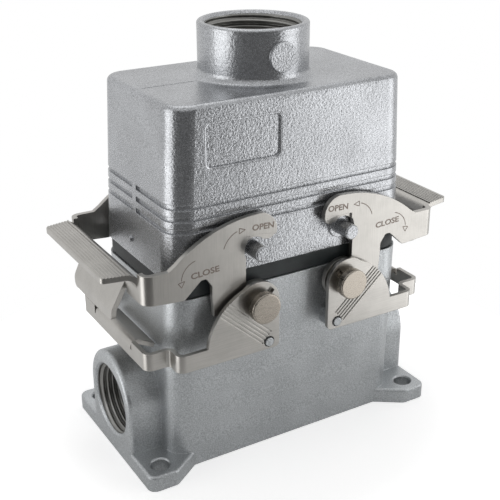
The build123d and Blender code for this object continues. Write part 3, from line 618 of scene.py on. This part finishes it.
class CONNECTOR_OT_threads(ConnectorOperator, Operator):
    """Cut the threads of the top and the side cable entry"""

    bl_idname = "connector.threads"
    bl_label = "Cut Threads"

    def execute(self, context):
        settings = context.scene.connector_thread
        # The threads' dark tone is bare metal plus painted shade of the bore's inside.
        cut = plated_metal("thread_metal_painted_shade", settings.tone, settings.roughness)
        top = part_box("hood_shell")[1][2] - settings.mouth
        points, faces = thread_ring(
            settings.top_radius, settings.depth, top - settings.top_reach, top,
            settings.pitch, settings.around)
        piece("top_thread", points, faces, cut, "housing")
        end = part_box("base_housing")[0][0] + settings.mouth
        points, faces = thread_ring(
            settings.side_radius, settings.depth, 0, settings.side_reach,
            settings.pitch, settings.around)
        x, y, z = np.moveaxis(points, -1, 0)
        turned = np.stack([end + z, y, settings.side_height - x], axis=-1)
        piece("side_thread", turned, faces, cut, "housing")
        return {"FINISHED"}


class CONNECTOR_OT_marks(ConnectorOperator, Operator):
    """Etch the words and arrows on the front of both levers"""

    bl_idname = "connector.marks"
    bl_label = "Etch Lever Marks"

    def execute(self, context):
        settings = context.scene.connector_marks
        steel = plated_metal("etched_steel", settings.tone, settings.roughness)
        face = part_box("lever_left")[0][1]
        front = (0, -1, 0)
        # Places in mm on the right lever, which the left one mirrors.
        shafts = {
            "open_arc": ((18.9, 68.3), (21.5, 66.7), (22.9, 64.2)),
            "close_arc": ((30.7, 63.1), (33.6, 61.4), (34.8, 58.4)),
        }
        heads = {
            "open_head": ((16.7, 68.3), (18.4, 68.95), (18.45, 67.5)),
            "close_head": ((33.9, 58.3), (35.7, 58.0), (34.8, 56.7)),
        }
        lines = {name: arc_through(*places, steps=24) for name, places in shafts.items()}
        lines.update({name: polygon_path(places, steps=8) for name, places in heads.items()})
        # Each word has its middle in mm and its lean in degrees.
        words = {
            "left": (("OPEN", -11.5, 68.1, -3), ("CLOSE", -28.2, 59.3, 4)),
            "right": (("OPEN", 11.6, 68.4, -3), ("CLOSE", 28.3, 60.8, 3)),
        }
        for side, mirror in (("left", (-1, 1)), ("right", (1, 1))):
            body = f"{side}_lever"
            for name, places in lines.items():
                points, faces = raised_line(
                    on_cheek(places * np.array(mirror), face), front,
                    settings.stroke, settings.relief, name in heads)
                piece(f"{side}_{name}", points, faces, steel, body)
            for word, x, z, lean in words[side]:
                points, faces = self.leaning_word(settings, word, x, z, lean, face)
                piece(f"{side}_{word.lower()}_word", points, faces, steel, body, smooth=False)
        return {"FINISHED"}

    def leaning_word(self, settings, word, x, z, lean, face):
        """Word with its middle at (x, z) in mm on a lever's front cheek, turned by its lean in degrees."""
        advance = 0.94
        wide = settings.letter_height * advance * len(word)
        points, faces = word_mesh(word, wide, settings.letter_height, settings.relief)
        turn = math.radians(lean)
        across = points[:, 0] * math.cos(turn) - points[:, 1] * math.sin(turn)
        up = points[:, 0] * math.sin(turn) + points[:, 1] * math.cos(turn)
        return np.stack([x * MM + across, face - points[:, 2], z * MM + up], axis=1), faces


class CONNECTOR_OT_seams(ConnectorOperator, Operator):
    """Run the casting seam along the hood's top and the sloped edge of its label panel"""

    bl_idname = "connector.seams"
    bl_label = "Run Seam and Panel Edge"

    def execute(self, context):
        settings = context.scene.connector_seams
        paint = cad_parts["hood_shell"].material_slots[0].material
        points, faces = raised_line(*self.seam_path(settings), settings.width, settings.relief)
        piece("hood_seam", points, faces, paint, "housing")
        points, faces = self.panel_edge(settings)
        piece("panel_lip", points, faces, paint, "housing", smooth=False)
        return {"FINISHED"}

    def seam_path(self, settings):
        """Points and outward normals of the seam.

        It climbs the hood's leaning left end, turns over the upper edge on a quarter circle and
        runs level along the top to the collar's foot.
        """
        wall_steps, edge_steps, top_steps = 6, 8, 12
        roll = settings.roll
        turn = np.linspace(0, math.pi / 2, edge_steps)[1:]
        lean = (settings.foot - settings.crown) / (settings.roof - settings.rim)
        x = np.concatenate([
            np.linspace(settings.crown + lean * settings.start, settings.crown + lean * roll, wall_steps),
            settings.crown - roll + roll * np.cos(turn),
            np.linspace(settings.crown - roll, settings.inner, top_steps)[1:]])
        z = np.concatenate([
            np.linspace(settings.roof - settings.start, settings.roof - roll, wall_steps),
            settings.roof - roll + roll * np.sin(turn),
            np.full(top_steps - 1, settings.roof)])
        normal_x = np.concatenate([np.ones(wall_steps), np.cos(turn), np.zeros(top_steps - 1)])
        normal_z = np.concatenate([np.zeros(wall_steps), np.sin(turn), np.ones(top_steps - 1)])
        path = np.stack([-x, np.zeros_like(x), z], axis=1)
        return path, np.stack([-normal_x, np.zeros_like(x), normal_z], axis=1)

    def panel_edge(self, settings):
        """Ring inside the sunk panel's wall, with a gentle slope from the hood's face to its inner edge.

        Each corner of its section runs along four quarter circles joined by straight sides, with
        the panel's corner radius plus the corner's own offset. The hood's face leans back evenly
        from its rim to its top.
        """
        # A hair's breadth keeps the ring's faces from lying in the hood's own.
        hair = 0.02 * MM
        corner_steps = 9
        section = np.array([
            (hair, hair), (-settings.lip, -settings.lip_fall),
            (-settings.lip, hair - settings.panel_depth), (hair, hair - settings.panel_depth)])
        quarter = np.linspace(0, math.pi / 2, corner_steps)
        turn = (quarter + math.pi / 2 * np.arange(4)[:, None]).ravel()[:, None]
        side_x = np.repeat([1, -1, -1, 1], corner_steps)[:, None]
        side_z = np.repeat([1, 1, -1, -1], corner_steps)[:, None]
        reach_x = settings.panel_long - settings.panel_corner
        reach_z = settings.panel_tall - settings.panel_corner
        radius = settings.panel_corner + section[None, :, 0]
        x = side_x * reach_x + radius * np.cos(turn) - settings.panel_from_centre
        z = settings.panel_z + side_z * reach_z + radius * np.sin(turn)
        rise = (z - settings.rim) / (settings.roof - settings.rim)
        y = (settings.face_low - settings.face_high) * rise - settings.face_low - section[None, :, 1]
        return np.stack([x, y, z], axis=-1), quads(len(turn), len(section), True, True)


class CONNECTOR_OT_stage(ConnectorOperator, Operator):
    """Set the camera, the soft boxes, the ambient light and the floor"""

    bl_idname = "connector.stage"
    bl_label = "Set Stage"

    def execute(self, context):
        settings = context.scene.connector_stage
        self.camera(context, settings)
        side = {"elevation": -8, "distance": 1.3, "wide": 0.85, "tall": 1.7}
        self.soft_box("left_soft_box", settings.fill, azimuth=-95, **side)
        self.soft_box("right_soft_box", settings.key, azimuth=50.5, **side)
        above = {"elevation": 72, "distance": 1.5, "wide": 1.2, "tall": 1.2}
        self.soft_box("top_soft_box", settings.top, azimuth=160, **above)
        self.ambient(context, settings)
        self.floor(settings)
        context.scene.view_settings.view_transform = "Standard"
        return {"FINISHED"}

    def camera(self, context, settings):
        """Camera at the photograph's angle, 31 degrees round to the left and 24 degrees up."""
        round_left, looking_down = 31.12, 23.87
        lens = bpy.data.cameras.new("camera")
        lens.lens = settings.lens
        lens.sensor_width = 36
        lens.shift_x = -0.01055
        eye = bpy.data.objects.new("camera", lens)
        eye.location = (-0.1287, -0.21426, 0.16044)
        eye.rotation_euler = (math.radians(90 - looking_down), 0, math.radians(-round_left))
        context.scene.collection.objects.link(eye)
        context.scene.camera = eye

    def soft_box(self, name, watts, azimuth, elevation, distance, wide, tall):
        """Rectangular lamp that faces the connector's middle, from an azimuth round from the front."""
        middle = Vector((0, 0, 0.06))
        around, up = math.radians(azimuth), math.radians(elevation)
        way = Vector((math.sin(around) * math.cos(up), -math.cos(around) * math.cos(up), math.sin(up)))
        lamp = bpy.data.lights.new(name, "AREA")
        lamp.shape = "RECTANGLE"
        lamp.size = wide
        lamp.size_y = tall
        lamp.energy = watts
        holder = bpy.data.objects.new(name, lamp)
        holder.location = middle + way * distance
        holder.rotation_euler = way.to_track_quat("Z", "Y").to_euler()
        bpy.context.scene.collection.objects.link(holder)

    def ambient(self, context, settings):
        """Even light from all around, with a white background for the camera.

        Gloss sees a pale wall behind the object and on its right, a pale ceiling, and the dim
        part of the studio on the camera's side.
        """
        world = bpy.data.worlds.new("studio")
        context.scene.world = world
        world.use_nodes = True
        nodes = Nodes(world.node_tree)
        nodes.tree.nodes.clear()
        seen, camera_only = nodes.sight()
        split = nodes.add("ShaderNodeSeparateXYZ")
        nodes.join(nodes.add("ShaderNodeTexCoord").outputs["Generated"], split.inputs[0])
        wall_turn = 0.6
        right = nodes.number("MAXIMUM", split.outputs["X"], 0.0)
        towards_wall = nodes.number("MULTIPLY_ADD", right, wall_turn, split.outputs["Y"])
        wall = nodes.ease(towards_wall, start=0.05, end=0.4, low=settings.dim, high=settings.behind)
        ceiling = nodes.ease(split.outputs["Z"], start=0.3, end=0.6, low=0.0, high=settings.ceiling)
        level = nodes.number("MAXIMUM", nodes.number("MAXIMUM", camera_only, wall), ceiling)
        plain = self.white(nodes)
        plain.inputs["Strength"].default_value = settings.world
        backdrop = self.white(nodes)
        nodes.join(level, backdrop.inputs["Strength"])
        choice = nodes.add("ShaderNodeMixShader")
        nodes.join(seen, choice.inputs["Fac"])
        nodes.join(plain.outputs[0], choice.inputs[1])
        nodes.join(backdrop.outputs[0], choice.inputs[2])
        out = nodes.add("ShaderNodeOutputWorld")
        nodes.join(choice.outputs[0], out.inputs["Surface"])

    def white(self, nodes):
        """White background whose strength is still to be set."""
        background = nodes.add("ShaderNodeBackground")
        background.inputs["Color"].default_value = (1, 1, 1, 1)
        return background

    def floor(self, settings):
        """Round pale table top whose colour runs out to white before its edge."""
        steps = 96
        turn = np.linspace(0, 2 * math.pi, steps, endpoint=False)
        rim = settings.table * np.stack([np.cos(turn), np.sin(turn), 0 * turn], axis=1)
        mesh = bpy.data.meshes.new("floor")
        mesh.from_pydata(rim.tolist(), [], [list(range(steps))])
        ground = bpy.data.objects.new("floor", mesh)
        bpy.context.scene.collection.objects.link(ground)
        finish = Finish("floor_paper")
        faint = finish.noise(size=0.05, detail=2)
        away = finish.add("ShaderNodeVectorMath", operation="LENGTH")
        finish.join(finish.place, away.inputs[0])
        fade = finish.ease(
            away.outputs["Value"], start=0.48 * settings.table, end=0.95 * settings.table, low=0.56, high=1.0)
        seen, camera_only = finish.sight()
        glow = finish.number("MAXIMUM", camera_only, finish.number("MULTIPLY", seen, settings.glow))
        finish.shader.inputs["Specular IOR Level"].default_value = 0.2
        mesh.materials.append(finish.set(
            base_color=finish.mottled(faint, settings.floor, part=0.985), roughness=0.9,
            emission_color=(1, 1, 1), emission_strength=finish.number("MULTIPLY", glow, fade)))


class CONNECTOR_PT_sidebar(Panel):
    """Panel that lists the steps in their order"""

    bl_label = "Connector"
    bl_idname = "CONNECTOR_PT_sidebar"
    bl_space_type = "VIEW_3D"
    bl_region_type = "UI"
    bl_category = "Connector"

    def draw(self, context):
        for step in STEPS:
            self.layout.operator(step.bl_idname)


STEPS = (
    CONNECTOR_OT_housings,
    CONNECTOR_OT_levers,
    CONNECTOR_OT_inside,
    CONNECTOR_OT_threads,
    CONNECTOR_OT_marks,
    CONNECTOR_OT_seams,
    CONNECTOR_OT_stage,
)


def register():
    """Registers the settings, the steps and the panel."""
    for name, group in GROUPS.items():
        bpy.utils.register_class(group)
        setattr(bpy.types.Scene, name, PointerProperty(type=group))
    for step in STEPS:
        bpy.utils.register_class(step)
    bpy.utils.register_class(CONNECTOR_PT_sidebar)


def unregister():
    """Takes away what register added."""
    bpy.utils.unregister_class(CONNECTOR_PT_sidebar)
    for step in reversed(STEPS):
        bpy.utils.unregister_class(step)
    for name, group in reversed(GROUPS.items()):
        delattr(bpy.types.Scene, name)
        bpy.utils.unregister_class(group)


def main():
    """Runs every step in order."""
    register()
    for step in STEPS:
        family, action = step.bl_idname.split(".")
        getattr(getattr(bpy.ops, family), action)()


if __name__ == "__main__":
    main()
